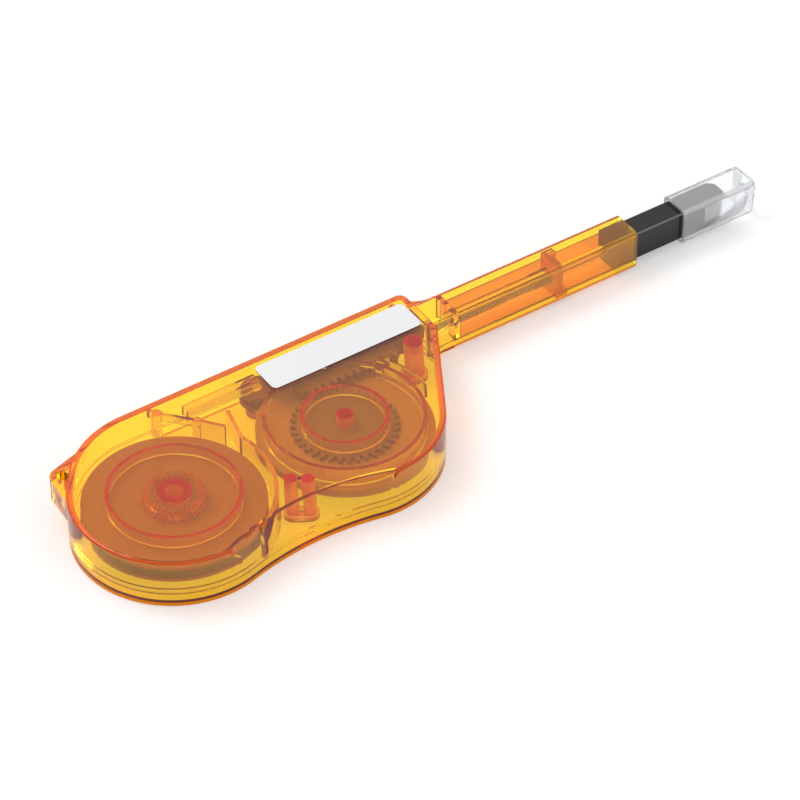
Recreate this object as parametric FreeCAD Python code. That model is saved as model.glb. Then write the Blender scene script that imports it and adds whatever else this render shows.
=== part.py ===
import FreeCAD, Part
import math
import os

# Fibre connector cleaning pen: a flat two-reel housing with a long square neck. A black nose slides
# in and out of the neck, and a rack behind it turns the take-up reel by one step at each push.
#
# +X runs along the neck towards the tip, +Y towards the straight back edge and +Z up.
# The origin is the supply reel's axis, on the plane that the pen lies on. Lengths are in millimetres.

V = FreeCAD.Vector
UP = V(0, 0, 1)

# ---- Housing outline ----
body_height = 15.4
parting_height = 4.3
wall = 1.8
roof = 1.4
floor = 1.4
edge_round = 0.8
edge_bevel = 0.6
supply_lobe_radius = 28.3
take_up_lobe_radius = 27.2
reel_spacing = 53.5
rear_lobe_offset = 3.0
back_edge = 32.4
shoulder = 94.0
shoulder_front = 15.2
back_corner_round = 2.5
front_corner_round = 2.0
waist_radius = 86.0

# ---- Finger scoop in the front of the waist ----
scoop_radius = 75.0
scoop_middle = 27.5
scoop_edge = -22.1
scoop_lean = 21.0

# ---- Shell joint: a tongue on the lower half stands in a rebate of the upper half ----
tongue_height = 1.3
joint_gap = 0.05

# ---- Lanyard ear ----
ear_x = -21.4
ear_y = 20.9
ear_radius = 3.5
ear_hole = 3.2
ear_underside = 7.6
ear_step = 0.6

# ---- Neck ----
neck_end = 164.4
neck_front = 17.6
neck_back = 28.2
neck_bottom = 0.9
neck_top = 14.1
neck_wall = 1.2
neck_round = 1.8
root_length = 7.5
root_setback = 1.4

# ---- Fits ----
running_gap = 0.05
side_gap = 0.25
face_gap = 0.2

# ---- Reels ----
reel_margin = 2.0
supply_disc_radius = supply_lobe_radius - wall - reel_margin
supply_disc_bottom = 6.0
supply_disc_top = 10.6
take_up_margin = 1.3
take_up_disc_radius = take_up_lobe_radius - wall - take_up_margin
take_up_disc_bottom = 6.9
take_up_disc_top = 9.2
flange = 0.9
rim_lip = 0.4
reel_seat = 2.8
hub_wall = 1.6
supply_tube_outer = 9.3
supply_tube_bore = 4.7
take_up_pin = 4.7
take_up_winding_radius = 13.0
take_up_lower_flange_radius = 14.5

# ---- Take-up drive ----
gear_teeth = 36
gear_module = 0.78
gear_thickness = 1.0
pressure_angle = 20.0
backlash = 0.14
rack_start = 49.0
rack_end = 81.0
rack_rail = 4.0
rack_thickness = 2.8
slider_plate_end = 92.0
slider_plate_front = 17.7
slider_plate_back = 27.6
slider_plate_start = 62.0
carriage_start = 79.0
carriage_bottom = 6.4
rod_socket_depth = 6.0

# ---- Push rod and return spring ----
rod_diameter = 1.6
rod_height = 7.9
spring_setback = 9.2
spring_clear_of_nose = 25.9
nose_engagement = 7.1
nose_start = neck_end - nose_engagement
spring_start = shoulder + spring_setback
spring_end = nose_start - spring_clear_of_nose
spring_wire = 0.55
spring_outer = 3.4
spring_pitch = 1.085
spring_turns = round((spring_end - spring_start) / spring_pitch)
collar_length = 5.4
collar_diameter = 3.8
seat_wall = 1.6
guide_wall = 2.0
guide_step = 1.8
guide_step_back = 5.2

# ---- Nose and cleaning head ----
nose_length = 39.7
nose_end = nose_start + nose_length
nose_width = 7.3
nose_height = 9.3
nose_wall = 0.9
nose_round = 0.6
nose_pocket = 15.0
window_length = 7.6
window_margin = 1.0
head_reach = 0.5
tip_chamfer = 2.2
head_setback = 0.5
head_tip_round = 1.2
tape_thickness = 0.25
tape_width = 5.0

# ---- Cap ----
cap_overlap = 15.4
cap_reach = 10.6
cap_start = nose_end - cap_overlap
cap_end = nose_end + cap_reach
cap_wall = 1.15
cap_gap = 0.3
cap_round = 2.0
cap_end_wall = 1.4
eyelet_radius = 1.9
eyelet_hole = 1.4
eyelet_thickness = 1.2

# ---- Guide roller ----
roller_x = 41.4
roller_y = 25.2
roller_radius = 4.7
roller_bottom = 6.0
roller_pin = 3.0

# ---- Ribs under the roof ----
rib = 1.1
thin_rib = 0.8
supply_ring_radius = supply_disc_radius - 6.3
take_up_ring_radius = take_up_disc_radius - 1.9
gear_ring_radius = 12.0
brake_teeth = 40
brake_outer = 8.6
brake_inner = 6.0
brake_tooth = 0.9
brake_web = 1.2
divider_radius = supply_lobe_radius - wall / 2
catch_radius = take_up_disc_radius + 0.8
arm_lean = 2.4
arm_length = 10.5
finger_x = 10.8
finger_drop = 2.2
finger_rise = 2.6
finger_bend_angle = 46.0
finger_tip_angle = 30.0

# ---- Closing posts between the halves ----
waist_post_x = 29.6
waist_post_y = -14.4
waist_post_width = 3.6
waist_post_spread = 4.6
waist_post_turn = -34.0
shoulder_post_x = 85.2
shoulder_post_y = 14.2
shoulder_post_diameter = 5.4
locating_pin_x = 88.6
locating_pin_y = 29.4
locating_pin = 1.9
post_socket_wall = 0.9
post_socket_height = 1.6

# ---- Label ----
label_x0 = 42.6
label_x1 = 91.0
label_y0 = 17.8
label_y1 = 28.4
label_round = 1.6
label_thickness = 0.25

# ---- Derived places ----
roof_under = body_height - roof
supply_axis = V(0, 0, 0)
take_up_axis = V(reel_spacing, 0, 0)
rear_axis = V(rear_lobe_offset, back_edge - supply_lobe_radius, 0)
neck_middle_y = (neck_front + neck_back) / 2
neck_middle_z = (neck_bottom + neck_top) / 2
pitch_radius = gear_teeth * gear_module / 2
gear_bottom = take_up_disc_top + face_gap
gear_top = gear_bottom + gear_thickness
rack_top = gear_bottom + rack_thickness


# ---- Small geometry helpers ----
def around(centre, radius, angle):
    return centre + V(radius * math.cos(angle), radius * math.sin(angle), 0)


def arc(centre, radius, start, end):
    middle = (start + end) / 2
    points = [around(centre, radius, a) for a in (start, middle, end)]
    return Part.Arc(*points).toShape()


def line(start, end):
    return Part.LineSegment(start, end).toShape()


def heading(start, end):
    return math.atan2(end.y - start.y, end.x - start.x)


def face_of(edges):
    return Part.Face(Part.Wire(Part.__sortEdges__(edges)))


def prism(face, bottom, top):
    lifted = face.copy()
    lifted.translate(V(0, 0, bottom))
    return lifted.extrude(V(0, 0, top - bottom))


def disc(centre, radius, bottom, top):
    return Part.makeCylinder(radius, top - bottom, V(centre.x, centre.y, bottom))


def ring(centre, outer, inner, bottom, top):
    return disc(centre, outer, bottom, top).cut(disc(centre, inner, bottom, top))


def block(x0, x1, y0, y1, z0, z1):
    return Part.makeBox(x1 - x0, y1 - y0, z1 - z0, V(x0, y0, z0))


def polygon(points):
    return Part.Face(Part.makePolygon([V(x, y, 0) for x, y in points] + [V(*points[0], 0)]))


def fused(first, *others):
    return first.multiFuse(list(others)).removeSplitter()


def rounded_corner(before, corner, after, radius):
    """The start, middle and end of an arc that rounds a corner between two straight lines."""
    back = (before - corner).normalize()
    on = (after - corner).normalize()
    half = back.getAngle(on) / 2
    setback = radius / math.tan(half)
    centre = corner + (back + on).normalize() * (radius / math.sin(half))
    middle = centre + (corner - centre).normalize() * radius
    return corner + back * setback, middle, corner + on * setback


def hull(centre_a, radius_a, centre_b, radius_b):
    """The face inside the belt round two circles."""
    line_angle = heading(centre_a, centre_b)
    spread = math.acos((radius_a - radius_b) / centre_a.distanceToPoint(centre_b))
    left = line_angle + spread
    right = line_angle - spread
    belt = [line(around(centre_a, radius_a, right), around(centre_b, radius_b, right)),
            arc(centre_b, radius_b, right, left),
            line(around(centre_b, radius_b, left), around(centre_a, radius_a, left)),
            arc(centre_a, radius_a, left, right + 2 * math.pi)]
    return face_of(belt)


def rounded_bar(x0, x1, y0, y1, z0, z1, radius):
    """A bar along X whose four long edges are rounded."""
    bar = block(x0, x1, y0, y1, z0, z1)
    long_edges = [e for e in bar.Edges if abs(e.tangentAt(e.FirstParameter).x) > 0.99]
    return bar.makeFillet(radius, long_edges)


def rounded_plate(x0, x1, y0, y1, z0, z1, radius):
    """A flat plate whose four upright edges are rounded."""
    plate = block(x0, x1, y0, y1, z0, z1)
    upright = [e for e in plate.Edges if abs(e.tangentAt(e.FirstParameter).z) > 0.99]
    return plate.makeFillet(radius, upright)


def save(name, shape):
    shape.exportStep("parts/" + name + ".step")


# ---- Housing: outline in plan ----
def housing_outline():
    """Two lobes, a hollow waist in front, a straight back edge and a square shoulder."""
    to_waist_a = supply_lobe_radius + waist_radius
    to_waist_b = take_up_lobe_radius + waist_radius
    waist_x = (to_waist_a ** 2 - to_waist_b ** 2 + reel_spacing ** 2) / (2 * reel_spacing)
    waist_axis = V(waist_x, -math.sqrt(to_waist_a ** 2 - waist_x ** 2), 0)
    waist_a = heading(supply_axis, waist_axis)
    waist_b = heading(take_up_axis, waist_axis)

    travel = heading(rear_axis, supply_axis) - math.pi / 2
    rear_angle = travel % (2 * math.pi)

    corner = V(shoulder, shoulder_front, 0)
    reach = take_up_axis.distanceToPoint(corner)
    flank = heading(take_up_axis, corner) - math.acos(take_up_lobe_radius / reach)
    flank_start = around(take_up_axis, take_up_lobe_radius, flank)

    back_corner = V(shoulder, back_edge, 0)
    back_start = V(rear_axis.x, back_edge, 0)
    front_round = rounded_corner(flank_start, corner, back_corner, front_corner_round)
    back_round = rounded_corner(corner, back_corner, back_start, back_corner_round)

    return face_of([
        line(flank_start, front_round[0]),
        Part.Arc(*front_round).toShape(),
        line(front_round[2], back_round[0]),
        Part.Arc(*back_round).toShape(),
        line(back_round[2], back_start),
        arc(rear_axis, supply_lobe_radius, math.pi / 2, rear_angle),
        line(around(rear_axis, supply_lobe_radius, rear_angle),
             around(supply_axis, supply_lobe_radius, rear_angle)),
        arc(supply_axis, supply_lobe_radius, rear_angle, waist_a + 2 * math.pi),
        arc(waist_axis, waist_radius, waist_a + math.pi, waist_b + math.pi),
        arc(take_up_axis, take_up_lobe_radius, waist_b, flank)])


def inset(face, distance):
    return face.makeOffset2D(-distance)


def scoop(growth):
    """The leaning cylinder that hollows the front of the waist for a finger."""
    radius = scoop_radius + growth
    tool = Part.makeCylinder(radius, 4 * body_height,
                             V(scoop_middle, scoop_edge - scoop_radius, -body_height))
    tool.rotate(V(scoop_middle, scoop_edge, body_height), V(1, 0, 0), -scoop_lean)
    return tool


def lanyard_ear():
    """A rounded tab off the rear corner, with a hole for a cord."""
    centre = V(ear_x, ear_y, 0)
    top = body_height - ear_step
    beside = prism(hull(supply_axis, supply_lobe_radius - wall, centre, ear_radius), ear_underside, top)
    behind = prism(hull(rear_axis, supply_lobe_radius - wall, centre, ear_radius), ear_underside, top)
    return beside.fuse(behind)


def neck_root():
    """The flared start of the neck, hollow-curved on both sides, where it leaves the shoulder."""
    inside = shoulder - wall
    end = shoulder + root_length
    front = shoulder_front + root_setback
    back = back_edge - root_setback
    front_middle = V(shoulder + root_length * 0.35, front + (neck_front - front) * 0.75, 0)
    back_middle = V(shoulder + root_length * 0.35, back + (neck_back - back) * 0.75, 0)
    face = face_of([
        line(V(inside, front, 0), V(shoulder, front, 0)),
        Part.Arc(V(shoulder, front, 0), front_middle, V(end, neck_front, 0)).toShape(),
        line(V(end, neck_front, 0), V(end, neck_back, 0)),
        Part.Arc(V(end, neck_back, 0), back_middle, V(shoulder, back, 0)).toShape(),
        line(V(shoulder, back, 0), V(inside, back, 0)),
        line(V(inside, back, 0), V(inside, front, 0))])
    return prism(face, neck_bottom + neck_round / 2, neck_top - neck_round / 2)


def neck_channel():
    return block(shoulder - wall - 1, neck_end + 1, neck_front + neck_wall, neck_back - neck_wall,
                 neck_bottom + neck_wall, neck_top - neck_wall)


def hollow_housing(outline):
    """Both halves in one, with the reel chamber and the neck's channel taken out."""
    body = prism(outline, 0, body_height)
    flat = [e for e in body.Edges if abs(e.tangentAt(e.FirstParameter).z) < 0.01]
    body = body.makeFillet(edge_round, [e for e in flat if e.CenterOfMass.z > parting_height])
    flat = [e for e in body.Edges if e.BoundBox.ZMax < joint_gap]
    body = body.makeChamfer(edge_bevel, flat)
    body = body.cut(scoop(0))
    neck = rounded_bar(shoulder - wall, neck_end, neck_front, neck_back, neck_bottom, neck_top, neck_round)
    solid = fused(body, lanyard_ear(), neck_root(), neck)
    chamber = prism(inset(outline, wall), floor, roof_under).cut(scoop(wall))
    cord_hole = disc(V(ear_x, ear_y, 0), ear_hole / 2, ear_underside, body_height)
    return solid.cut(chamber).cut(neck_channel()).cut(cord_hole)


def tongue_band(outline, outer_gap):
    """The band inside the wall that the tongue fills, or that its rebate takes away."""
    return prism(inset(outline, wall / 2 + outer_gap).cut(inset(outline, wall)),
                 parting_height, parting_height + tongue_height + joint_gap - outer_gap)


# ---- Housing: what stands on the floor and hangs from the roof ----
def waist_post_ends():
    """The axes of the two round posts that stand side by side at the waist."""
    turn = math.radians(waist_post_turn)
    middle = V(waist_post_x, waist_post_y, 0)
    return [around(middle, side * waist_post_spread / 2, turn) for side in (-1, 1)]


def waist_post(bottom, top):
    """Two round posts side by side, joined by a web."""
    ends = waist_post_ends()
    web = prism(hull(ends[0], rib / 2, ends[1], rib / 2 - 1e-6), bottom, top)
    return fused(web, *[disc(end, waist_post_width / 2, bottom, top) for end in ends])


def waist_socket(growth, bottom, top):
    """The long round outline that holds both posts, grown by a wall or a gap."""
    ends = waist_post_ends()
    radius = waist_post_width / 2 + growth
    return prism(hull(ends[0], radius, ends[1], radius - 1e-6), bottom, top)


def shoulder_post(diameter, bottom, top):
    return disc(V(shoulder_post_x, shoulder_post_y, 0), diameter / 2, bottom, top)


def brake_ring():
    """A toothed ring pressed on the supply reel's tube, over the reel that it brakes."""
    points = []
    for tooth in range(brake_teeth):
        for share, radius in ((0.0, brake_outer), (0.55, brake_outer - brake_tooth)):
            angle = 2 * math.pi * (tooth + share) / brake_teeth
            points.append((radius * math.cos(angle), radius * math.sin(angle)))
    bottom = supply_disc_top + face_gap
    toothed = prism(polygon(points), bottom, roof_under)
    recess = disc(supply_axis, brake_inner, bottom + brake_web, roof_under)
    return toothed.cut(recess).cut(disc(supply_axis, supply_tube_outer / 2, bottom, roof_under))


def wall_along(points, thickness, bottom, top):
    """An upright rib that follows straight stretches between points, with round ends."""
    pieces = []
    for start, end in zip(points, points[1:]):
        stretch = hull(V(*start, 0), thickness / 2, V(*end, 0), thickness / 2 - 1e-6)
        pieces.append(prism(stretch, bottom, top))
    return pieces


def roof_ribs():
    """Ribs under the roof: rings over the reels, tape guides and the divider round the supply reel."""
    over_supply = supply_disc_top + face_gap
    over_take_up = take_up_disc_top + face_gap
    over_gear = gear_top + face_gap
    over_rack = rack_top + face_gap

    supply_ring = ring(supply_axis, supply_ring_radius, supply_ring_radius - rib, over_supply, roof_under)
    gear_ring = ring(take_up_axis, gear_ring_radius, gear_ring_radius - rib, over_gear, roof_under)

    take_up_ring = ring(take_up_axis, take_up_ring_radius, take_up_ring_radius - rib,
                        over_take_up, roof_under)
    rack_side = pitch_radius - 2 * gear_module
    take_up_ring = take_up_ring.cut(block(0, shoulder, rack_side, back_edge, 0, over_rack))

    divider = ring(supply_axis, divider_radius, divider_radius - rib, parting_height, roof_under)
    divider = divider.common(prism(polygon([(0, 0), (2 * divider_radius, 0.6 * divider_radius),
                                            (2 * divider_radius, -2 * divider_radius),
                                            (0.9 * divider_radius, -2 * divider_radius)]),
                                   0, body_height))

    catch = ring(take_up_axis, catch_radius, catch_radius - thin_rib, over_take_up, roof_under)
    catch_reach = 2 * catch_radius
    catch = catch.common(prism(polygon([(reel_spacing, 0), (reel_spacing + catch_reach, -0.1 * catch_reach),
                                        (reel_spacing + catch_reach, 0.72 * catch_reach)]),
                               0, body_height))
    catch = catch.cut(block(0, shoulder, rack_side, back_edge, 0, over_rack))

    divider_end = around(supply_axis, divider_radius - rib / 2, math.atan(0.3))
    arm_tip = (divider_end.x + arm_lean, divider_end.y + arm_length)
    guides = wall_along([(divider_end.x, divider_end.y), arm_tip], rib, supply_disc_bottom, roof_under)

    clear = supply_disc_radius + side_gap + rib / 2
    root = (finger_x, back_edge - wall)
    knee = (finger_x + rib, back_edge - wall - finger_drop)
    bend = around(supply_axis, clear + finger_rise, math.radians(finger_bend_angle))
    tip = around(supply_axis, clear + finger_rise, math.radians(finger_tip_angle))
    guides += wall_along([root, knee, (bend.x, bend.y), (tip.x, tip.y)], rib, supply_disc_bottom, roof_under)

    over_roller = supply_disc_top + face_gap
    for y in (roller_y - thin_rib, roller_y + 2 * thin_rib):
        guides += wall_along([(bend.x, y), (roller_x, y)], thin_rib, over_roller, roof_under)
    return [supply_ring, gear_ring, take_up_ring, catch, divider] + guides


def slotted_wall(start, thickness):
    """A cross wall in the neck, with a slot that the push rod drops into from below."""
    cross = block(start, start + thickness, neck_front + neck_wall / 2, neck_back - neck_wall / 2,
                  parting_height, neck_top - neck_wall / 2)
    slot_half = rod_diameter / 2 + side_gap
    slot = block(start, start + thickness, neck_middle_y - slot_half, neck_middle_y + slot_half,
                 parting_height, rod_height)
    eye = Part.makeCylinder(slot_half, thickness, V(start, neck_middle_y, rod_height), V(1, 0, 0))
    return cross.cut(slot).cut(eye)


def rod_guide():
    """A stepped block across the neck's channel: the rod runs through it and the collar stops at it."""
    start = spring_end + collar_length + side_gap
    end = start + guide_wall
    front = neck_front + neck_wall
    back = neck_back - neck_wall
    bottom = neck_bottom + neck_wall
    top = neck_top - neck_wall
    cross = block(start, end, front, back, bottom, top)
    foot = block(end, end + guide_step, front, back - guide_step_back, bottom, bottom + guide_step)
    head = block(end, end + guide_step, front + guide_step_back, back, top - guide_step, top)
    hole = Part.makeCylinder(rod_diameter / 2 + side_gap, guide_wall + 2 * guide_step,
                             V(start - guide_step, neck_middle_y, rod_height), V(1, 0, 0))
    return fused(cross, foot, head).cut(hole)


def upper_shell(whole, outline):
    """The upper half: roof, upper walls, neck, ear, the reels' spindles and the ribs."""
    above = whole.common(block(-2 * back_edge, neck_end + 1, -2 * back_edge, 2 * back_edge,
                               parting_height, body_height))
    tube = ring(supply_axis, supply_tube_outer / 2, supply_tube_bore / 2, reel_seat, roof_under)
    pin = disc(take_up_axis, take_up_pin / 2, floor, roof_under)
    posts = [waist_post(floor, roof_under),
             shoulder_post(shoulder_post_diameter, floor, roof_under),
             disc(V(locating_pin_x, locating_pin_y, 0), locating_pin / 2, parting_height, roof_under)]
    seat = slotted_wall(spring_start - seat_wall, seat_wall)
    upper = fused(above, tube, pin, seat, *posts, *roof_ribs())
    return upper.cut(tongue_band(outline, 0))


def lower_shell(whole, outline):
    """The lower half: floor, lower walls, the tongue, sockets for the posts and the reels' seats."""
    below = whole.common(block(-2 * back_edge, neck_end + 1, -2 * back_edge, 2 * back_edge,
                               0, parting_height))
    supply_pin = disc(supply_axis, supply_tube_bore / 2 - running_gap, floor, supply_disc_bottom)
    supply_seat = ring(supply_axis, supply_tube_outer / 2 + hub_wall, supply_tube_outer / 2 + running_gap,
                       floor, reel_seat - face_gap)
    take_up_seat = ring(take_up_axis, take_up_pin / 2 + hub_wall, take_up_pin / 2 + running_gap,
                        floor, reel_seat - face_gap)
    roller = V(roller_x, roller_y, 0)
    roller_post = disc(roller, roller_pin / 2, floor, supply_disc_top)
    roller_seat = disc(roller, roller_pin / 2 + hub_wall, floor, roller_bottom - face_gap)
    socket_top = floor + post_socket_height
    sockets = [waist_socket(post_socket_wall, floor, socket_top),
               shoulder_post(shoulder_post_diameter + 2 * post_socket_wall, floor, socket_top)]
    lower = fused(below, tongue_band(outline, joint_gap), supply_pin, supply_seat, take_up_seat,
                  roller_post, roller_seat, *sockets)
    for hole in (waist_socket(joint_gap, floor, socket_top),
                 shoulder_post(shoulder_post_diameter + 2 * joint_gap, floor, socket_top)):
        lower = lower.cut(hole)
    return lower


def label():
    return rounded_plate(label_x0, label_x1, label_y0, label_y1,
                         body_height, body_height + label_thickness, label_round)


# ---- Reels ----
def supply_reel():
    """A spool with two flanges on a long hub that turns on the roof's tube."""
    bore = supply_tube_outer / 2 + running_gap
    hub = disc(supply_axis, bore + hub_wall, reel_seat, supply_disc_top)
    lower = disc(supply_axis, supply_disc_radius, supply_disc_bottom, supply_disc_bottom + flange)
    upper = disc(supply_axis, supply_disc_radius, supply_disc_top - flange, supply_disc_top)
    return fused(hub, lower, upper).cut(disc(supply_axis, bore, 0, body_height))


def supply_tape():
    """The full wind of cleaning tape between the supply reel's flanges."""
    hub = supply_tube_outer / 2 + running_gap + hub_wall
    return ring(supply_axis, supply_disc_radius - rim_lip, hub,
                supply_disc_bottom + flange, supply_disc_top - flange)


def take_up_reel():
    """A wide flange over a narrow hub, with a small flange below the used tape."""
    bore = take_up_pin / 2 + running_gap
    hub = disc(take_up_axis, bore + hub_wall, reel_seat, take_up_disc_top)
    wide = disc(take_up_axis, take_up_disc_radius, take_up_disc_bottom, take_up_disc_top)
    small = disc(take_up_axis, take_up_lower_flange_radius, reel_seat, reel_seat + flange)
    reel = fused(hub, wide, small)
    return reel.cut(disc(take_up_axis, bore, 0, body_height))


def take_up_tape():
    hub = take_up_pin / 2 + running_gap + hub_wall
    return ring(take_up_axis, take_up_winding_radius, hub, reel_seat + flange, take_up_disc_bottom)


# ---- Rack and gear ----
def involute_angle(radius, base):
    turned = math.sqrt((radius / base) ** 2 - 1)
    return turned - math.atan(turned)


def gear_outline():
    """Involute teeth, with one tooth pointing along +Y so that the rack's gap meets it."""
    base = pitch_radius * math.cos(math.radians(pressure_angle))
    tip = pitch_radius + gear_module
    root = pitch_radius - 1.25 * gear_module
    start = max(base, root)
    half_tooth = (math.pi * gear_module / 2 - backlash) / (2 * pitch_radius)
    half_at_base = half_tooth + involute_angle(pitch_radius, base)
    steps = 3
    points = []
    for tooth in range(gear_teeth):
        middle = math.pi / 2 + 2 * math.pi * tooth / gear_teeth
        flank = [start + (tip - start) * i / steps for i in range(steps + 1)]
        halves = [half_at_base - involute_angle(r, base) for r in flank]
        right = [(r, middle - h) for r, h in zip(flank, halves)]
        left = [(r, middle + h) for r, h in zip(reversed(flank), reversed(halves))]
        foot = [(root, middle - half_at_base)] if root < start else []
        heel = [(root, middle + half_at_base)] if root < start else []
        points += foot + right + left + heel
    return polygon([(take_up_axis.x + r * math.cos(a), take_up_axis.y + r * math.sin(a)) for r, a in points])


def take_up_gear():
    gear = prism(gear_outline(), gear_bottom, gear_top)
    return gear.cut(disc(take_up_axis, take_up_pin / 2 + running_gap, 0, body_height))


def rack_teeth():
    """Straight-sided teeth that point to the gear, with a gap opposite the gear's top tooth."""
    pitch = math.pi * gear_module
    slope = math.tan(math.radians(pressure_angle))
    half = (pitch / 2 - backlash) / 2
    tip = pitch_radius - gear_module
    root = pitch_radius + 1.25 * gear_module
    tip_half = half - gear_module * slope
    root_half = half + 1.25 * gear_module * slope
    first = math.ceil((rack_start + root_half - take_up_axis.x) / pitch - 0.5)
    last = math.floor((rack_end - root_half - take_up_axis.x) / pitch - 0.5)
    teeth = []
    for count in range(first, last + 1):
        middle = take_up_axis.x + (count + 0.5) * pitch
        tooth = polygon([(middle - tip_half, tip), (middle + tip_half, tip),
                         (middle + root_half, root), (middle + root_half, root + 0.3),
                         (middle - root_half, root + 0.3), (middle - root_half, root)])
        teeth.append(prism(tooth, gear_bottom, rack_top))
    return teeth


def slider_rack():
    """A flat plate under the roof: rack teeth in front, and a carriage behind for the push rod."""
    root = pitch_radius + 1.25 * gear_module
    rail = block(rack_start, rack_end, root, root + rack_rail, gear_bottom, rack_top)
    plate = rounded_plate(slider_plate_start, slider_plate_end, slider_plate_front, slider_plate_back,
                          gear_bottom, rack_top, front_corner_round)
    carriage = rounded_plate(carriage_start, slider_plate_end, slider_plate_front + 1, slider_plate_back - 1,
                             carriage_bottom, rack_top, front_corner_round)
    socket = Part.makeCylinder(rod_diameter / 2, slider_plate_end - carriage_start,
                               V(slider_plate_end - rod_socket_depth, neck_middle_y, rod_height), V(1, 0, 0))
    return fused(rail, plate, carriage, *rack_teeth()).cut(socket)


# ---- Push rod, collar and spring ----
def push_rod():
    start = slider_plate_end - rod_socket_depth
    return Part.makeCylinder(rod_diameter / 2, nose_start + rod_socket_depth - start,
                             V(start, neck_middle_y, rod_height), V(1, 0, 0))


def spring_collar():
    """A collar on the rod: the spring pushes it forward against the guide wall."""
    ring_shape = Part.makeCylinder(collar_diameter / 2, collar_length,
                                   V(spring_end, neck_middle_y, rod_height), V(1, 0, 0))
    return ring_shape.cut(Part.makeCylinder(rod_diameter / 2, collar_length,
                                            V(spring_end, neck_middle_y, rod_height), V(1, 0, 0)))


def return_spring():
    """A coil of square-sided wire, drawn through a section at each eighth of a turn."""
    steps = 8
    sides = 4
    coil_radius = (spring_outer - spring_wire) / 2
    first = spring_start + spring_wire / 2
    length = spring_end - spring_start - spring_wire
    sections = []
    for step in range(spring_turns * steps + 1):
        turn = 2 * math.pi * step / steps
        along = first + length * step / (spring_turns * steps)
        corners = []
        for side in range(sides + 1):
            round_wire = 2 * math.pi * side / sides
            radius = coil_radius + spring_wire / 2 * math.cos(round_wire)
            corners.append(V(along + spring_wire / 2 * math.sin(round_wire),
                             neck_middle_y + radius * math.cos(turn),
                             rod_height + radius * math.sin(turn)))
        sections.append(Part.makePolygon(corners))
    return Part.makeLoft(sections, True, True)


# ---- Nose and cleaning head ----
def nose_bar(start, end, inset_by):
    return rounded_bar(start, end,
                       neck_middle_y - nose_width / 2 + inset_by, neck_middle_y + nose_width / 2 - inset_by,
                       neck_middle_z - nose_height / 2 + inset_by, neck_middle_z + nose_height / 2 - inset_by,
                       nose_round)


def nose_sleeve():
    """The black nose: a square bar, hollow at its tip, with the front side cut open."""
    bar = nose_bar(nose_start, nose_end, 0)
    pocket = block(nose_end - nose_pocket, nose_end + 1,
                   neck_middle_y - nose_width / 2 + nose_wall, neck_middle_y + nose_width / 2 - nose_wall,
                   neck_middle_z - nose_height / 2 + nose_wall, neck_middle_z + nose_height / 2 - nose_wall)
    window = block(nose_end - window_length, nose_end + 1,
                   neck_middle_y - nose_width, neck_middle_y - nose_width / 2 + nose_wall,
                   neck_middle_z - nose_height / 2 + window_margin,
                   neck_middle_z + nose_height / 2 - window_margin)
    rod_hole = Part.makeCylinder(rod_diameter / 2, rod_socket_depth,
                                 V(nose_start, neck_middle_y, rod_height), V(1, 0, 0))
    corner_y = neck_middle_y + nose_width / 2
    chamfer = prism(polygon([(nose_end - tip_chamfer, corner_y), (nose_end + 1, corner_y),
                             (nose_end + 1, corner_y - tip_chamfer), (nose_end, corner_y - tip_chamfer)]),
                    0, body_height)
    return bar.cut(pocket).cut(window).cut(rod_hole).cut(chamfer)


def head_plan(growth):
    """The cleaning head in plan, with its tip rounded, grown on every side."""
    radius = head_tip_round + growth
    start = nose_end - nose_pocket
    end = nose_end + head_reach + growth
    front = neck_middle_y - nose_width / 2 + nose_wall + head_setback - growth
    back = neck_middle_y + nose_width / 2 - nose_wall - head_setback + growth
    turn = math.pi / 2
    return face_of([
        line(V(start, front, 0), V(end - radius, front, 0)),
        arc(V(end - radius, front + radius, 0), radius, -turn, 0),
        line(V(end, front + radius, 0), V(end, back - radius, 0)),
        arc(V(end - radius, back - radius, 0), radius, 0, turn),
        line(V(end - radius, back, 0), V(start, back, 0)),
        line(V(start, back, 0), V(start, front, 0))])


def cleaning_head():
    """The pale head that carries the tape over the tip."""
    half = nose_height / 2 - nose_wall
    return prism(head_plan(0), neck_middle_z - half, neck_middle_z + half)


def tip_tape():
    """The stretch of cleaning tape that runs out along the head, over its tip and back."""
    outer = prism(head_plan(tape_thickness), neck_middle_z - tape_width / 2, neck_middle_z + tape_width / 2)
    return outer.cut(prism(head_plan(0), 0, body_height))


# ---- Cap ----
def cap():
    """A clear cap with one closed end, a thick lip round its mouth and an eyelet on its end."""
    half_y = nose_width / 2 + cap_gap + cap_wall
    half_z = nose_height / 2 + cap_gap + cap_wall
    outer = block(cap_start, cap_end, neck_middle_y - half_y, neck_middle_y + half_y,
                  neck_middle_z - half_z, neck_middle_z + half_z)
    rounded = [e for e in outer.Edges
               if abs(e.tangentAt(e.FirstParameter).x) > 0.99 or e.CenterOfMass.x > cap_end - 0.01]
    outer = outer.makeFillet(cap_round, rounded)
    inner = rounded_bar(cap_start - 1, cap_end - cap_end_wall,
                        neck_middle_y - nose_width / 2 - cap_gap, neck_middle_y + nose_width / 2 + cap_gap,
                        neck_middle_z - nose_height / 2 - cap_gap, neck_middle_z + nose_height / 2 + cap_gap,
                        nose_round + cap_gap)
    eyelet_y = neck_middle_y - half_y + eyelet_radius + cap_round / 2
    eyelet = Part.makeCylinder(eyelet_radius, eyelet_thickness,
                               V(cap_end, eyelet_y, neck_middle_z - eyelet_thickness / 2), UP)
    eyelet_bore = Part.makeCylinder(eyelet_hole / 2, eyelet_thickness,
                                    V(cap_end + eyelet_radius / 3, eyelet_y,
                                      neck_middle_z - eyelet_thickness / 2), UP)
    return fused(outer, eyelet).cut(inner).cut(eyelet_bore)


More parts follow.
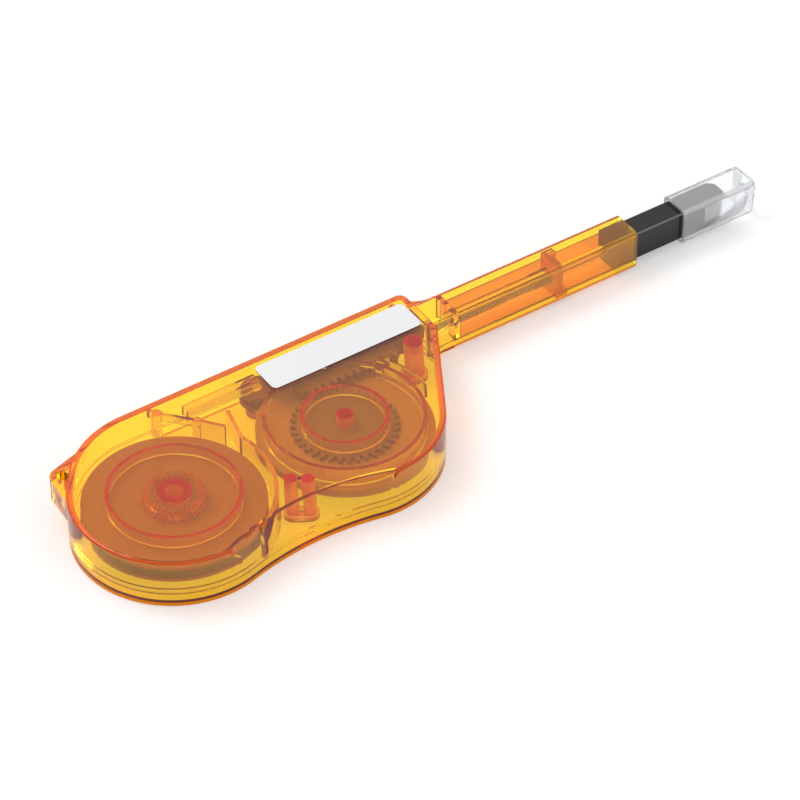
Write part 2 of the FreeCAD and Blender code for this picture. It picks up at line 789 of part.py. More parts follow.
def guide_roller():
    """A dark roller with a waisted rim, turning on a post of the lower half."""
    centre = V(roller_x, roller_y, 0)
    body = disc(centre, roller_radius, roller_bottom, supply_disc_top)
    groove = ring(centre, roller_radius + 1, roller_radius - rib, roller_bottom + flange,
                  supply_disc_top - flange)
    return body.cut(groove).cut(disc(centre, roller_pin / 2 + running_gap, 0, body_height))


# ---- Build every piece ----
os.makedirs("parts", exist_ok=True)
outline = housing_outline()
whole = hollow_housing(outline)
save("upper_shell", upper_shell(whole, outline))
save("lower_shell", lower_shell(whole, outline))
save("label", label())
save("brake_ring", brake_ring())
save("rod_guide", rod_guide())
save("supply_reel", supply_reel())
save("supply_tape", supply_tape())
save("take_up_reel", take_up_reel())
save("take_up_tape", take_up_tape())
save("take_up_gear", take_up_gear())
save("slider_rack", slider_rack())
save("push_rod", push_rod())
save("spring_collar", spring_collar())
save("return_spring", return_spring())
save("nose_sleeve", nose_sleeve())
save("cleaning_head", cleaning_head())
save("tip_tape", tip_tape())
save("guide_roller", guide_roller())
save("cap", cap())
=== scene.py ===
import bpy
import math
from mathutils import Matrix, Vector


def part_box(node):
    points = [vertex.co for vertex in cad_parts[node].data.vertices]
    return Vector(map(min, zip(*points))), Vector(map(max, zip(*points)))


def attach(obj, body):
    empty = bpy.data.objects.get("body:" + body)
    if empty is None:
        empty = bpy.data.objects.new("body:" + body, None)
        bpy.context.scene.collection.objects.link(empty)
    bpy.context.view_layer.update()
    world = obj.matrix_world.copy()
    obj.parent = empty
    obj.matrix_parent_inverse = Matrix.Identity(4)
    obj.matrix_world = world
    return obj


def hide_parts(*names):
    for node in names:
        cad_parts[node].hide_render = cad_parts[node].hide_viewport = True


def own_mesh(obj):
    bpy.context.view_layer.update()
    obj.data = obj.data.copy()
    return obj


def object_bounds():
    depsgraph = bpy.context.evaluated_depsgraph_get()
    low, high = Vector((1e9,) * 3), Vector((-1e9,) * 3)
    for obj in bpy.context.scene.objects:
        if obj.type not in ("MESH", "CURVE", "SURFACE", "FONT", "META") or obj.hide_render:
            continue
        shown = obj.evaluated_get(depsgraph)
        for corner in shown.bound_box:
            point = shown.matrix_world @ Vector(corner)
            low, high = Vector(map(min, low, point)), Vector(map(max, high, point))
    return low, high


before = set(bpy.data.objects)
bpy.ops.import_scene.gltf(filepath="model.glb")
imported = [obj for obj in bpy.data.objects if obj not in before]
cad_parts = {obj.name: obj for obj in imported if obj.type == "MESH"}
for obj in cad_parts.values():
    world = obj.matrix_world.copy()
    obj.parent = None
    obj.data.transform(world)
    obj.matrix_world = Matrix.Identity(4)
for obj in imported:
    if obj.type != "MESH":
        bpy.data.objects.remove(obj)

cad_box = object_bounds()
scene = bpy.context.scene

# ---- Camera ----
# A long lens looks down on the pen as it lies on a table, from in front of the reels and a little
# to their left. The look-at point is near the middle of the pen.
look_at = Vector((0.07797, 0.00977, 0.0))
look_along = Vector((0.4176, 0.6169, -0.6671)).normalized()
camera_distance = 1.05406
camera_data = bpy.data.cameras.new("table_camera")
camera_data.lens = 173.02
camera_data.sensor_width = 36.0
camera_data.clip_end = 10.0
camera = bpy.data.objects.new("table_camera", camera_data)
camera.location = look_at - look_along * camera_distance
camera.rotation_euler = look_along.to_track_quat("-Z", "Y").to_euler()
scene.collection.objects.link(camera)
scene.camera = camera
scene.view_settings.view_transform = "Standard"

# ---- Table, surroundings and lamps ----
# A white table with a large soft lamp over the pen's back left and a weaker one over its front.
# The table keeps the shadow, and gloss and clear plastic see the same white as the camera does.


def add_node(tree, kind, **values):
    """A node of this kind, with its sockets or settings given by name."""
    made = tree.nodes.new(kind)
    for name, value in values.items():
        if hasattr(made, name):
            setattr(made, name, value)
        else:
            made.inputs[name.replace("_", " ")].default_value = value
    return made


def seen_directly(tree):
    """1 for a ray from the camera, from gloss or through clear plastic."""
    path = add_node(tree, "ShaderNodeLightPath")
    total = path.outputs["Is Camera Ray"]
    for name in ("Is Glossy Ray", "Is Transmission Ray"):
        both = add_node(tree, "ShaderNodeMath", operation="MAXIMUM")
        tree.links.new(total, both.inputs[0])
        tree.links.new(path.outputs[name], both.inputs[1])
        total = both.outputs[0]
    return total


world = bpy.data.worlds.new("white_room")
world.use_nodes = True
scene.world = world
sky = world.node_tree
sky.nodes.clear()
white, seen_level, lighting_level = (1, 1, 1, 1), 1.0, 0.62
seen_sky = add_node(sky, "ShaderNodeBackground", Color=white, Strength=seen_level)
lighting_sky = add_node(sky, "ShaderNodeBackground", Color=white, Strength=lighting_level)
sky_mix = add_node(sky, "ShaderNodeMixShader")
sky_out = add_node(sky, "ShaderNodeOutputWorld")
sky.links.new(seen_directly(sky), sky_mix.inputs[0])
sky.links.new(lighting_sky.outputs[0], sky_mix.inputs[1])
sky.links.new(seen_sky.outputs[0], sky_mix.inputs[2])
sky.links.new(sky_mix.outputs[0], sky_out.inputs["Surface"])

table_lift, lift_through_plastic = 0.3, 0.4
table_material = bpy.data.materials.new("white_table")
table_material.use_nodes = True
top = table_material.node_tree
top.nodes.clear()
matt = add_node(top, "ShaderNodeBsdfDiffuse", Color=(0.84, 0.84, 0.84, 1), Roughness=1.0)
lift = add_node(top, "ShaderNodeEmission", Color=white)
lift_level = add_node(top, "ShaderNodeMath", operation="MULTIPLY")
lift_level.inputs[1].default_value = table_lift
through_level = add_node(top, "ShaderNodeMath", operation="MULTIPLY_ADD")
through_level.inputs[1].default_value = lift_through_plastic
table_path = add_node(top, "ShaderNodeLightPath")
both_lights = add_node(top, "ShaderNodeAddShader")
table_out = add_node(top, "ShaderNodeOutputMaterial")
top.links.new(seen_directly(top), lift_level.inputs[0])
top.links.new(table_path.outputs["Is Transmission Ray"], through_level.inputs[0])
top.links.new(lift_level.outputs[0], through_level.inputs[2])
top.links.new(through_level.outputs[0], lift.inputs["Strength"])
top.links.new(matt.outputs[0], both_lights.inputs[0])
top.links.new(lift.outputs[0], both_lights.inputs[1])
top.links.new(both_lights.outputs[0], table_out.inputs["Surface"])

table_mesh = bpy.data.meshes.new("table_top")
table_half = 4.0
table_mesh.from_pydata([(-table_half, -table_half, 0), (table_half, -table_half, 0),
                        (table_half, table_half, 0), (-table_half, table_half, 0)], [], [(0, 1, 2, 3)])
table_mesh.materials.append(table_material)
table = bpy.data.objects.new("table_top", table_mesh)
table.location.z = cad_box[0][2] - 0.0001
scene.collection.objects.link(table)


def soft_lamp(name, place, size, power):
    """A square lamp that faces the middle of the pen."""
    data = bpy.data.lights.new(name, "AREA")
    data.shape = "SQUARE"
    data.size = size
    data.energy = power
    lamp = bpy.data.objects.new(name, data)
    lamp.location = place
    lamp.rotation_euler = (look_at - Vector(place)).to_track_quat("-Z", "Y").to_euler()
    scene.collection.objects.link(lamp)


soft_lamp("back_left_lamp", (-0.22, 0.50, 0.85), 0.5, 4.6)
soft_lamp("front_lamp", (0.25, -0.70, 0.80), 0.6, 0.8)

# ---- Housing: two clear halves ----
# Two halves moulded in clear amber plastic meet low on the side, tongue in groove. The roof, the
# ribs, the spindles and the closing posts belong to the upper half, the reels' seats to the lower.
body_height, parting, seam = 15.4, 4.3, 0.03
wall, roof, floor, fit = 1.8, 1.4, 1.4, 0.05
edge_round, base_bevel, tongue_height = 0.8, 0.25, 1.3
supply_lobe, take_up_lobe, reel_spacing = 28.3, 27.2, 53.5
back_edge, shoulder, shoulder_front, waist_radius = 32.4, 94.0, 15.2, 86.0
front_round, back_round, rear_offset = 2.0, 2.5, 3.0
scoop_radius, scoop_middle, scoop_edge, scoop_lean = 75.0, 27.5, -22.1, math.radians(21.0)
supply_axis, take_up_axis = Vector((0, 0)), Vector((reel_spacing, 0))
rear_axis = Vector((rear_offset, back_edge - supply_lobe))
roof_under = body_height - roof


def on_circle(centre, radius, angle):
    return Vector((centre[0] + radius * math.cos(angle), centre[1] + radius * math.sin(angle)))


def arc_points(centre, radius, start, end, step=2.0):
    """Points along an arc, from one angle to another in either direction."""
    count = max(3, math.ceil(abs(end - start) / math.radians(step)))
    return [on_circle(centre, radius, start + (end - start) * i / count) for i in range(count + 1)]


def bearing(start, end):
    return math.atan2(end[1] - start[1], end[0] - start[0])


def solid_from(rings):
    """A closed solid through rings of the same number of points, with flat ends."""
    count = len(rings[0])
    points = [point for ring in rings for point in ring]
    faces = [tuple(reversed(range(count))),
             tuple(range((len(rings) - 1) * count, len(rings) * count))]
    for level in range(len(rings) - 1):
        for i in range(count):
            j = (i + 1) % count
            faces.append((level * count + i, level * count + j,
                          (level + 1) * count + j, (level + 1) * count + i))
    mesh = bpy.data.meshes.new("solid")
    mesh.from_pydata(points, [], faces)
    return mesh


def prism(points, bottom, top):
    return solid_from([[(x, y, z) for x, y in points] for z in (bottom, top)])


def disc(centre, radius, bottom, top, count=120):
    turns = [2 * math.pi * i / count for i in range(count)]
    return prism([on_circle(centre, radius, a) for a in turns], bottom, top)


def block(x0, x1, y0, y1, z0, z1):
    return prism([(x0, y0), (x1, y0), (x1, y1), (x0, y1)], z0, z1)


def belt(centre_a, radius_a, centre_b, radius_b):
    """The outline of a belt round two circles."""
    along = bearing(centre_a, centre_b)
    apart = (Vector(centre_b) - Vector(centre_a)).length
    spread = math.acos((radius_a - radius_b) / apart)
    return (arc_points(centre_b, radius_b, along - spread, along + spread, 5.0)
            + arc_points(centre_a, radius_a, along + spread, along - spread + 2 * math.pi, 3.0))


def combined(operation, mesh, *others):
    """The union, difference or common part of closed meshes."""
    piece = bpy.data.objects.new("working", mesh)
    scene.collection.objects.link(piece)
    tools = []
    for other in others:
        tool = bpy.data.objects.new("tool", other)
        scene.collection.objects.link(tool)
        tools.append(tool)
        step = piece.modifiers.new("step", "BOOLEAN")
        step.operation = operation
        step.solver = "MANIFOLD"
        step.object = tool
    done = bpy.data.meshes.new_from_object(piece.evaluated_get(bpy.context.evaluated_depsgraph_get()))
    for thing in tools + [piece]:
        bpy.data.objects.remove(thing)
    return done


def with_all(mesh, *others):
    return combined("UNION", mesh, *others)


def less(mesh, *others):
    return combined("DIFFERENCE", mesh, *others)


def shared(mesh, *others):
    return combined("INTERSECT", mesh, *others)


def tube(centre, outer, inner, bottom, top):
    return less(disc(centre, outer, bottom, top), disc(centre, inner, bottom - 1, top + 1))


def rounded_turn(before, corner, after, radius):
    """The centre and the two angles of an arc that rounds a corner between straight lines."""
    back = (before - corner).normalized()
    on = (after - corner).normalized()
    half = back.angle(on) / 2
    centre = corner + (back + on).normalized() * (radius / math.sin(half))
    first = corner + back * (radius / math.tan(half))
    last = corner + on * (radius / math.tan(half))
    start, end = bearing(centre, first), bearing(centre, last)
    return centre, start, end if end > start else end + 2 * math.pi


to_waist_a, to_waist_b = supply_lobe + waist_radius, take_up_lobe + waist_radius
waist_x = (to_waist_a ** 2 - to_waist_b ** 2 + reel_spacing ** 2) / (2 * reel_spacing)
waist_axis = Vector((waist_x, -math.sqrt(to_waist_a ** 2 - waist_x ** 2)))
waist_a, waist_b = bearing(supply_axis, waist_axis), bearing(take_up_axis, waist_axis)
rear_angle = (bearing(rear_axis, supply_axis) - math.pi / 2) % (2 * math.pi)
corner = Vector((shoulder, shoulder_front))
flank = bearing(take_up_axis, corner) - math.acos(take_up_lobe / (corner - take_up_axis).length)
back_corner, back_start = Vector((shoulder, back_edge)), Vector((rear_axis.x, back_edge))
front_turn = rounded_turn(on_circle(take_up_axis, take_up_lobe, flank), corner, back_corner,
                          front_round)
back_turn = rounded_turn(corner, back_corner, back_start, back_round)


def outline(inset):
    """The housing in plan, drawn in from its outside by this much."""
    return (arc_points(front_turn[0], front_round - inset, front_turn[1], front_turn[2], 8.0)
            + arc_points(back_turn[0], back_round - inset, back_turn[1], back_turn[2], 8.0)
            + arc_points(rear_axis, supply_lobe - inset, math.pi / 2, rear_angle)
            + arc_points(supply_axis, supply_lobe - inset, rear_angle, waist_a + 2 * math.pi)
            + arc_points(waist_axis, waist_radius + inset, waist_a + math.pi, waist_b + math.pi, 1.0)[1:-1]
            + arc_points(take_up_axis, take_up_lobe - inset, waist_b, flank))


def scoop(growth):
    """The leaning cylinder that hollows the front of the waist for a finger."""
    mesh = disc((scoop_middle, scoop_edge - scoop_radius), scoop_radius + growth,
                -body_height, 3 * body_height, 720)
    pivot = Matrix.Translation((scoop_middle, scoop_edge, body_height))
    mesh.transform(pivot @ Matrix.Rotation(-scoop_lean, 4, "X") @ pivot.inverted())
    return mesh


def edge_profile():
    """Inset and height up the outer wall: a bevel below and a round edge above."""
    steps = 7
    levels = [(base_bevel, 0.0), (0.0, base_bevel), (0.0, floor - fit)]
    for i in range(steps + 1):
        turn = math.pi / 2 * i / steps
        levels.append((edge_round * (1 - math.cos(turn)),
                       body_height - edge_round + edge_round * math.sin(turn)))
    return levels


def bar_along_x(x0, x1, y0, y1, z0, z1, radius):
    """A bar along X whose long edges are rounded."""
    section = []
    for y, z, start in ((y1 - radius, z1 - radius, 0), (y0 + radius, z1 - radius, 1),
                        (y0 + radius, z0 + radius, 2), (y1 - radius, z0 + radius, 3)):
        section += arc_points((y, z), radius, start * math.pi / 2, (start + 1) * math.pi / 2, 10.0)
    return solid_from([[(x, p[0], p[1]) for p in section] for x in (x0, x1)])


def arc_through(first, middle, last, count=16):
    """Points from first to last along the circle through all three."""
    a, b, c = (Vector(p) for p in (first, middle, last))
    d = 2 * (a.x * (b.y - c.y) + b.x * (c.y - a.y) + c.x * (a.y - b.y))
    centre = Vector(((a.dot(a) * (b.y - c.y) + b.dot(b) * (c.y - a.y) + c.dot(c) * (a.y - b.y)) / d,
                     (a.dot(a) * (c.x - b.x) + b.dot(b) * (a.x - c.x) + c.dot(c) * (b.x - a.x)) / d))
    start, end = bearing(centre, a), bearing(centre, c)
    if end - start > math.pi:
        end -= 2 * math.pi
    if start - end > math.pi:
        end += 2 * math.pi
    radius = (a - centre).length
    return [on_circle(centre, radius, start + (end - start) * i / count) for i in range(count + 1)]


neck_end, neck_front, neck_back, neck_bottom, neck_top, neck_wall = 164.4, 17.6, 28.2, 0.9, 14.1, 1.2
neck_round, channel_round, root_inset = 1.8, 0.4, 0.9
root_front, root_back, bend_front, bend_back = 16.6, 31.0, 17.35, 28.9
root_bend, root_end = shoulder + 2.6, shoulder + 7.5
ear_centre, ear_radius, ear_hole = Vector((-21.4, 20.9)), 3.5, 1.6
ear_bottom, ear_top = 7.6, body_height - 0.6
rod_middle = (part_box("push_rod")[0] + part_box("push_rod")[1]) * 500
neck_middle_y, rod_height = rod_middle.y, rod_middle.z

wall_rings = [[(p.x, p.y, z) for p in outline(inset)] for inset, z in edge_profile()]
body = less(solid_from(wall_rings), scoop(0))
ear_beside = prism(belt(supply_axis, supply_lobe - wall, ear_centre, ear_radius), ear_bottom, ear_top)
ear_behind = prism(belt(rear_axis, supply_lobe - wall, ear_centre, ear_radius), ear_bottom, ear_top)
front_flare = arc_through((shoulder, root_front), (root_bend, bend_front), (root_end, neck_front))
back_flare = arc_through((root_end, neck_back), (root_bend, bend_back), (shoulder, root_back))
neck_root = prism([(shoulder - wall, root_front)] + front_flare + back_flare + [(shoulder - wall, root_back)],
                  neck_bottom + root_inset, neck_top - root_inset)
neck = bar_along_x(shoulder - wall, neck_end, neck_front, neck_back, neck_bottom, neck_top, neck_round)
chamber = less(prism(outline(wall), floor, roof_under), scoop(wall))
channel = bar_along_x(shoulder - wall - 1, neck_end + 1, neck_front + neck_wall, neck_back - neck_wall,
                      neck_bottom + neck_wall, neck_top - neck_wall, channel_round)
whole = with_all(body, ear_beside, ear_behind, neck_root, neck)
whole = less(whole, chamber, channel, disc(ear_centre, ear_hole, 0, body_height + 1, 64))


def slab(bottom, top):
    """All there is between two heights."""
    return block(-60, 170, -60, 60, bottom, top)


upper = shared(whole, slab(parting + seam, body_height + 1))
upper = less(upper, less(prism(outline(wall / 2), parting - 1, parting + tongue_height + fit),
                         prism(outline(wall + fit), parting - 2, parting + 2)))
tongue = less(prism(outline(wall / 2 + fit), parting - 0.5, parting + tongue_height),
              prism(outline(wall), parting - 1, parting + 2))
lower = with_all(shared(whole, slab(-1, parting)), tongue)

# The upper half carries the spindles, the closing posts and the ribs over the reels, all moulded
# under its roof. The lower half carries the reels' seats, the roller's post and the posts' sockets.
supply_disc, supply_disc_bottom, supply_disc_top, take_up_disc_top = 24.5, 6.0, 10.6, 9.2
gear_top, rack_top, rack_side, reel_seat = 10.4, 12.2, 12.48, 2.8
rib, thin_rib, above, sliver = 1.1, 0.8, 0.2, 0.001
supply_ring_radius, take_up_ring_radius, gear_ring_radius, catch_radius = 18.2, 22.2, 12.0, 24.9
catch_front, catch_back = -5.0, 35.9
arm_run, finger_start, finger_bend = Vector((2.4, 10.5)), 10.8, 2.2
finger_turns, finger_depth, finger_pins = (46.0, 30.0), 2.4, (1.5, 1.2)
supply_tube, spindle_bore, take_up_pin, roller_pin = 4.65, 2.35, 2.35, 1.5
waist_posts, post_radius, post_spread = (29.6, -14.4), 1.8, 2.3
shoulder_post, shoulder_post_radius = (85.2, 14.2), 2.7
locating_pin, locating_pin_radius = (88.6, 29.4), 0.95
hub_wall, socket_wall, socket_top = 1.6, 0.9, floor + 1.6
seat_start, seat_end, rod_clearance = 101.6, 103.2, 1.05
roller_axis = Vector((41.4, 25.2))


def rib_along(points, thickness, bottom, top):
    """Upright ribs with round ends, one for each straight stretch between points."""
    return [prism(belt(a, thickness / 2, b, thickness / 2 - 1e-4), bottom, top)
            for a, b in zip(points, points[1:])]


post_axes = [on_circle(waist_posts, side * post_spread, math.radians(-34.0)) for side in (-1, 1)]


def post_outline(width, bottom, top):
    """The long round outline round the two posts at the waist."""
    return prism(belt(post_axes[0], width / 2, post_axes[1], width / 2 - 1e-4), bottom, top)


sink = roof_under + roof / 2
supply_ring = tube(supply_axis, supply_ring_radius, supply_ring_radius - rib, supply_disc_top + above, sink)
gear_ring = tube(take_up_axis, gear_ring_radius, gear_ring_radius - rib, gear_top + above, sink)
clear_of_rack = block(0, shoulder, rack_side, back_edge, 0, rack_top + above)
take_up_ring = less(tube(take_up_axis, take_up_ring_radius, take_up_ring_radius - rib,
                         take_up_disc_top + above, sink), clear_of_rack)
divider_radius = supply_lobe - wall / 2
divider_reach = 2 * divider_radius
divider = shared(tube(supply_axis, divider_radius, divider_radius - rib, parting + seam, sink),
                 prism([(0, 0), (0.9 * divider_radius, -divider_reach), (divider_reach, -divider_reach),
                        (divider_reach, 0.6 * divider_radius)], 0, body_height))
catch = less(tube(take_up_axis, catch_radius, catch_radius - thin_rib, take_up_disc_top + above, sink),
             clear_of_rack)
catch_reach = reel_spacing + 2 * catch_radius
catch = shared(catch, prism([(reel_spacing, 0), (catch_reach, catch_front), (catch_reach, catch_back)],
                            0, body_height))
divider_end = on_circle(supply_axis, divider_radius - rib / 2, math.atan(0.3))
arms = rib_along([divider_end, divider_end + arm_run], rib, supply_disc_bottom, sink)
finger_reach = supply_disc + 0.25 + rib / 2 + 2.6
finger = [Vector((finger_start, back_edge - wall)),
          Vector((finger_start + rib, back_edge - wall - finger_bend)),
          *[on_circle(supply_axis, finger_reach, math.radians(turn)) for turn in finger_turns]]
arms += rib_along(finger[:3], rib, roof_under - finger_depth, sink)
arms += rib_along(finger[2:], rib, supply_disc_bottom, sink)
arms += [disc(place, radius, supply_disc_bottom, sink, 40) for place, radius in zip(finger[1:], finger_pins)]
rails = []
for y in (roller_axis.y - thin_rib, roller_axis.y + 2 * thin_rib):
    rails += rib_along([Vector((finger[2].x, y)), Vector((roller_axis.x, y))], thin_rib,
                       supply_disc_top + above, sink)


def seat_wall():
    """The cross wall that the return spring starts from, with a slot for the rod."""
    in_wall = neck_wall / 2
    cross = block(seat_start, seat_end, neck_front + in_wall, neck_back - in_wall, parting + seam,
                  neck_top - in_wall)
    slot = block(seat_start - 0.6, seat_end + 0.8, neck_middle_y - rod_clearance,
                 neck_middle_y + rod_clearance, parting - 1, rod_height)
    eye = disc((0, 0), rod_clearance, -1, 1, 48)
    middle = Matrix.Translation(((seat_start + seat_end) / 2, neck_middle_y, rod_height))
    eye.transform(middle @ Matrix.Rotation(math.pi / 2, 4, "Y"))
    return less(cross, slot, eye)


upper = with_all(upper, supply_ring, gear_ring, take_up_ring, divider, catch, *arms, *rails,
                 tube(supply_axis, supply_tube, spindle_bore, reel_seat, sink),
                 disc(take_up_axis, take_up_pin, floor, sink, 96), post_outline(rib, floor + sliver, sink),
                 *[disc(axis, post_radius, floor, sink, 64) for axis in post_axes],
                 disc(shoulder_post, shoulder_post_radius, floor, sink, 64),
                 disc(locating_pin, locating_pin_radius, parting + seam, sink, 48), seat_wall())
sunk = floor / 2
lower = with_all(lower, disc(supply_axis, spindle_bore - fit, sunk, supply_disc_bottom, 64),
                 tube(supply_axis, supply_tube + hub_wall, supply_tube + fit, sunk, reel_seat - above),
                 tube(take_up_axis, take_up_pin + hub_wall, take_up_pin + fit, sunk, reel_seat - above),
                 disc(roller_axis, roller_pin, sunk, supply_disc_top, 48),
                 disc(roller_axis, roller_pin + hub_wall, sunk, supply_disc_bottom - above, 64),
                 less(post_outline(2 * (post_radius + socket_wall), sunk, socket_top),
                      post_outline(2 * (post_radius + fit), floor, floor + 2)),
                 less(disc(shoulder_post, shoulder_post_radius + socket_wall, sunk, socket_top, 64),
                      disc(shoulder_post, shoulder_post_radius + fit, floor, floor + 2, 64)))


def clear_piece(name, mesh, slot, *nodes):
    """A moulded piece in metres, smooth where its faces run into each other."""
    mesh.transform(Matrix.Scale(0.001, 4))
    mesh.name = name
    piece = bpy.data.objects.new(name, mesh)
    scene.collection.objects.link(piece)
    mesh.shade_smooth()
    mesh.set_sharp_from_angle(angle=math.radians(24))
    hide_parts(*nodes)
    return piece


def clear_plastic(name, ior, surface, depth_colour, depth, lamp_tint, roughness, grain, grain_size,
                  glow, glow_share, painted_glow_strength=0.0):
    """Clear plastic, deeper in colour where it is thicker. A share of diffuse haze is mixed in. Where that
    haze is set to glow, it is painted glow: an orange diffuse colour with a faint emission, though the
    plastic is no lamp.
    """
    material = bpy.data.materials.new(name)
    material.use_nodes = True
    tree = material.node_tree
    tree.nodes.clear()
    place = add_node(tree, "ShaderNodeTexCoord")
    ripple = add_node(tree, "ShaderNodeTexNoise", Scale=grain_size, Detail=2.0)
    bump = add_node(tree, "ShaderNodeBump", Strength=grain, Distance=0.0002)
    body = add_node(tree, "ShaderNodeBsdfPrincipled", Roughness=roughness, IOR=ior)
    body.inputs["Base Color"].default_value = surface
    body.inputs["Transmission Weight"].default_value = 1.0
    # The haze is a diffuse share. Its emission paints a faint glow, as though the plastic were a lamp.
    haze_and_painted_glow = add_node(tree, "ShaderNodeBsdfPrincipled", Roughness=1.0, Emission_Strength=painted_glow_strength)
    haze_and_painted_glow.inputs["Base Color"].default_value = glow
    haze_and_painted_glow.inputs["Emission Color"].default_value = glow
    haze_and_painted_glow.inputs["Specular IOR Level"].default_value = 0.0
    hazy_and_glowing = add_node(tree, "ShaderNodeMixShader")
    hazy_and_glowing.inputs[0].default_value = glow_share
    through = add_node(tree, "ShaderNodeBsdfTransparent", Color=lamp_tint)
    path = add_node(tree, "ShaderNodeLightPath")
    choice = add_node(tree, "ShaderNodeMixShader")
    inside = add_node(tree, "ShaderNodeVolumeAbsorption", Color=depth_colour, Density=depth)
    out = add_node(tree, "ShaderNodeOutputMaterial")
    tree.links.new(place.outputs["Object"], ripple.inputs["Vector"])
    tree.links.new(ripple.outputs["Fac"], bump.inputs["Height"])
    tree.links.new(bump.outputs["Normal"], body.inputs["Normal"])
    tree.links.new(body.outputs[0], hazy_and_glowing.inputs[1])
    tree.links.new(haze_and_painted_glow.outputs[0], hazy_and_glowing.inputs[2])
    tree.links.new(path.outputs["Is Shadow Ray"], choice.inputs[0])
    tree.links.new(hazy_and_glowing.outputs[0], choice.inputs[1])
    tree.links.new(through.outputs[0], choice.inputs[2])
    tree.links.new(choice.outputs[0], out.inputs["Surface"])
    tree.links.new(inside.outputs[0], out.inputs["Volume"])
    return material


def give(piece, material):
    """The material in every slot of a piece, or in the only one."""
    if not piece.material_slots:
        piece.data.materials.append(material)
    for slot in piece.material_slots:
        slot.material = material


amber_look = dict(ior=1.54, surface=(1.0, 0.98, 0.40, 1), depth_colour=(0.995, 0.936, 0.0, 1), depth=1200.0,
                  lamp_tint=(0.80, 0.57, 0.41, 1), roughness=0.0, grain=0.01, grain_size=250.0)
amber = clear_plastic("amber_plastic", glow=(1.0, 0.16, 0.005, 1), glow_share=0.07, **amber_look)
# Painted glow: an orange diffuse share and a faint emission stand in for light coming out of the plastic's
# edges. The floor's edge gets a stronger one.
painted_edge_glow = clear_plastic("amber_edge", glow=(1.0, 0.13, 0.002, 1), glow_share=0.5, painted_glow_strength=0.09, **amber_look)
painted_foot_glow = clear_plastic("amber_foot", glow=(1.0, 0.32, 0.004, 1), glow_share=0.7, painted_glow_strength=0.20, **amber_look)


def edge_faces(mesh, which, *materials):
    """The first material on most faces, and others, painted to glow, where the light in the plastic comes
    out.
    """
    mesh.materials.clear()
    for material in materials:
        mesh.materials.append(material)
    for face in mesh.polygons:
        face.material_index = which(face.center * 1000, face.normal)


post_reaches = [(post_axes[0], post_radius + 0.1), (post_axes[1], post_radius + 0.1),
                (shoulder_post, shoulder_post_radius + 0.1), (supply_axis, supply_tube + fit),
                (take_up_axis, take_up_pin + fit)]


def shell_edge(centre, normal):
    """1 on the round edge of the roof, the posts and the spindles, and 2 round the floor's edge: the faces
    that get painted glow.
    """
    if centre.z < floor and abs(normal.z) < 0.95:
        return 2
    on_rim = 0.12 < abs(normal.z) < 0.97 and centre.z > body_height - 0.9
    on_post = any((centre.xy - Vector(axis)).length < radius for axis, radius in post_reaches)
    return int(on_rim or (on_post and floor - 0.1 < centre.z < roof_under - 0.1))


for name, mesh in (("upper_half", upper), ("lower_half", lower)):
    half = clear_piece(name, mesh, "housing", name.replace("half", "shell"))
    # The roof's rim, the posts, the spindles and the floor's edge get painted glow, standing in for light
    # that comes out of the plastic's edges.
    edge_faces(mesh, shell_edge, amber, painted_edge_glow, painted_foot_glow)
    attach(half, "housing")

# ---- Brake ring and rod guide ----
# Two small amber pieces fitted inside the housing: a toothed ring pressed on the supply reel's tube,
# and a stepped block across the neck, which the rod runs through and its collar stops at.
crown_bottom, crown_step, crown_top = supply_disc_top + above, supply_disc_top + 1.6, roof_under - seam
tooth_count, rim_radius, rim_root = 40, 8.6, 7.8
crown_radius, crown_bore, crown_web = 7.9, 6.0, 1.2
gap_radius, gap_size = 7.8, (2.6, 0.55, 1.2)


def gap_tree():
    """Blocks that stand in a ring about Z, for cutting the gaps between radial teeth."""
    tree = bpy.data.node_groups.new("tooth_gaps", "GeometryNodeTree")
    tree.interface.new_socket("Count", in_out="INPUT", socket_type="NodeSocketInt")
    for name in ("Ring Radius", "Ring Height"):
        tree.interface.new_socket(name, in_out="INPUT", socket_type="NodeSocketFloat")
    tree.interface.new_socket("Gap Size", in_out="INPUT", socket_type="NodeSocketVector")
    tree.interface.new_socket("Plastic", in_out="INPUT", socket_type="NodeSocketMaterial")
    tree.interface.new_socket("Geometry", in_out="OUTPUT", socket_type="NodeSocketGeometry")
    given = tree.nodes.new("NodeGroupInput")
    result = tree.nodes.new("NodeGroupOutput")
    ring = tree.nodes.new("GeometryNodeMeshCircle")
    tree.links.new(given.outputs["Count"], ring.inputs["Vertices"])
    tree.links.new(given.outputs["Ring Radius"], ring.inputs["Radius"])
    gap = tree.nodes.new("GeometryNodeMeshCube")
    tree.links.new(given.outputs["Gap Size"], gap.inputs["Size"])
    facing = tree.nodes.new("FunctionNodeAlignRotationToVector")
    facing.axis = "X"
    tree.links.new(tree.nodes.new("GeometryNodeInputPosition").outputs[0], facing.inputs["Vector"])
    placed = tree.nodes.new("GeometryNodeInstanceOnPoints")
    tree.links.new(ring.outputs["Mesh"], placed.inputs["Points"])
    tree.links.new(gap.outputs["Mesh"], placed.inputs["Instance"])
    tree.links.new(facing.outputs["Rotation"], placed.inputs["Rotation"])
    lifted = tree.nodes.new("ShaderNodeCombineXYZ")
    tree.links.new(given.outputs["Ring Height"], lifted.inputs[2])
    raised = tree.nodes.new("GeometryNodeTransform")
    tree.links.new(placed.outputs[0], raised.inputs["Geometry"])
    tree.links.new(lifted.outputs[0], raised.inputs["Translation"])
    real = tree.nodes.new("GeometryNodeRealizeInstances")
    coat = tree.nodes.new("GeometryNodeSetMaterial")
    tree.links.new(raised.outputs[0], real.inputs["Geometry"])
    tree.links.new(real.outputs[0], coat.inputs["Geometry"])
    tree.links.new(given.outputs["Plastic"], coat.inputs["Material"])
    tree.links.new(coat.outputs[0], result.inputs["Geometry"])
    return tree


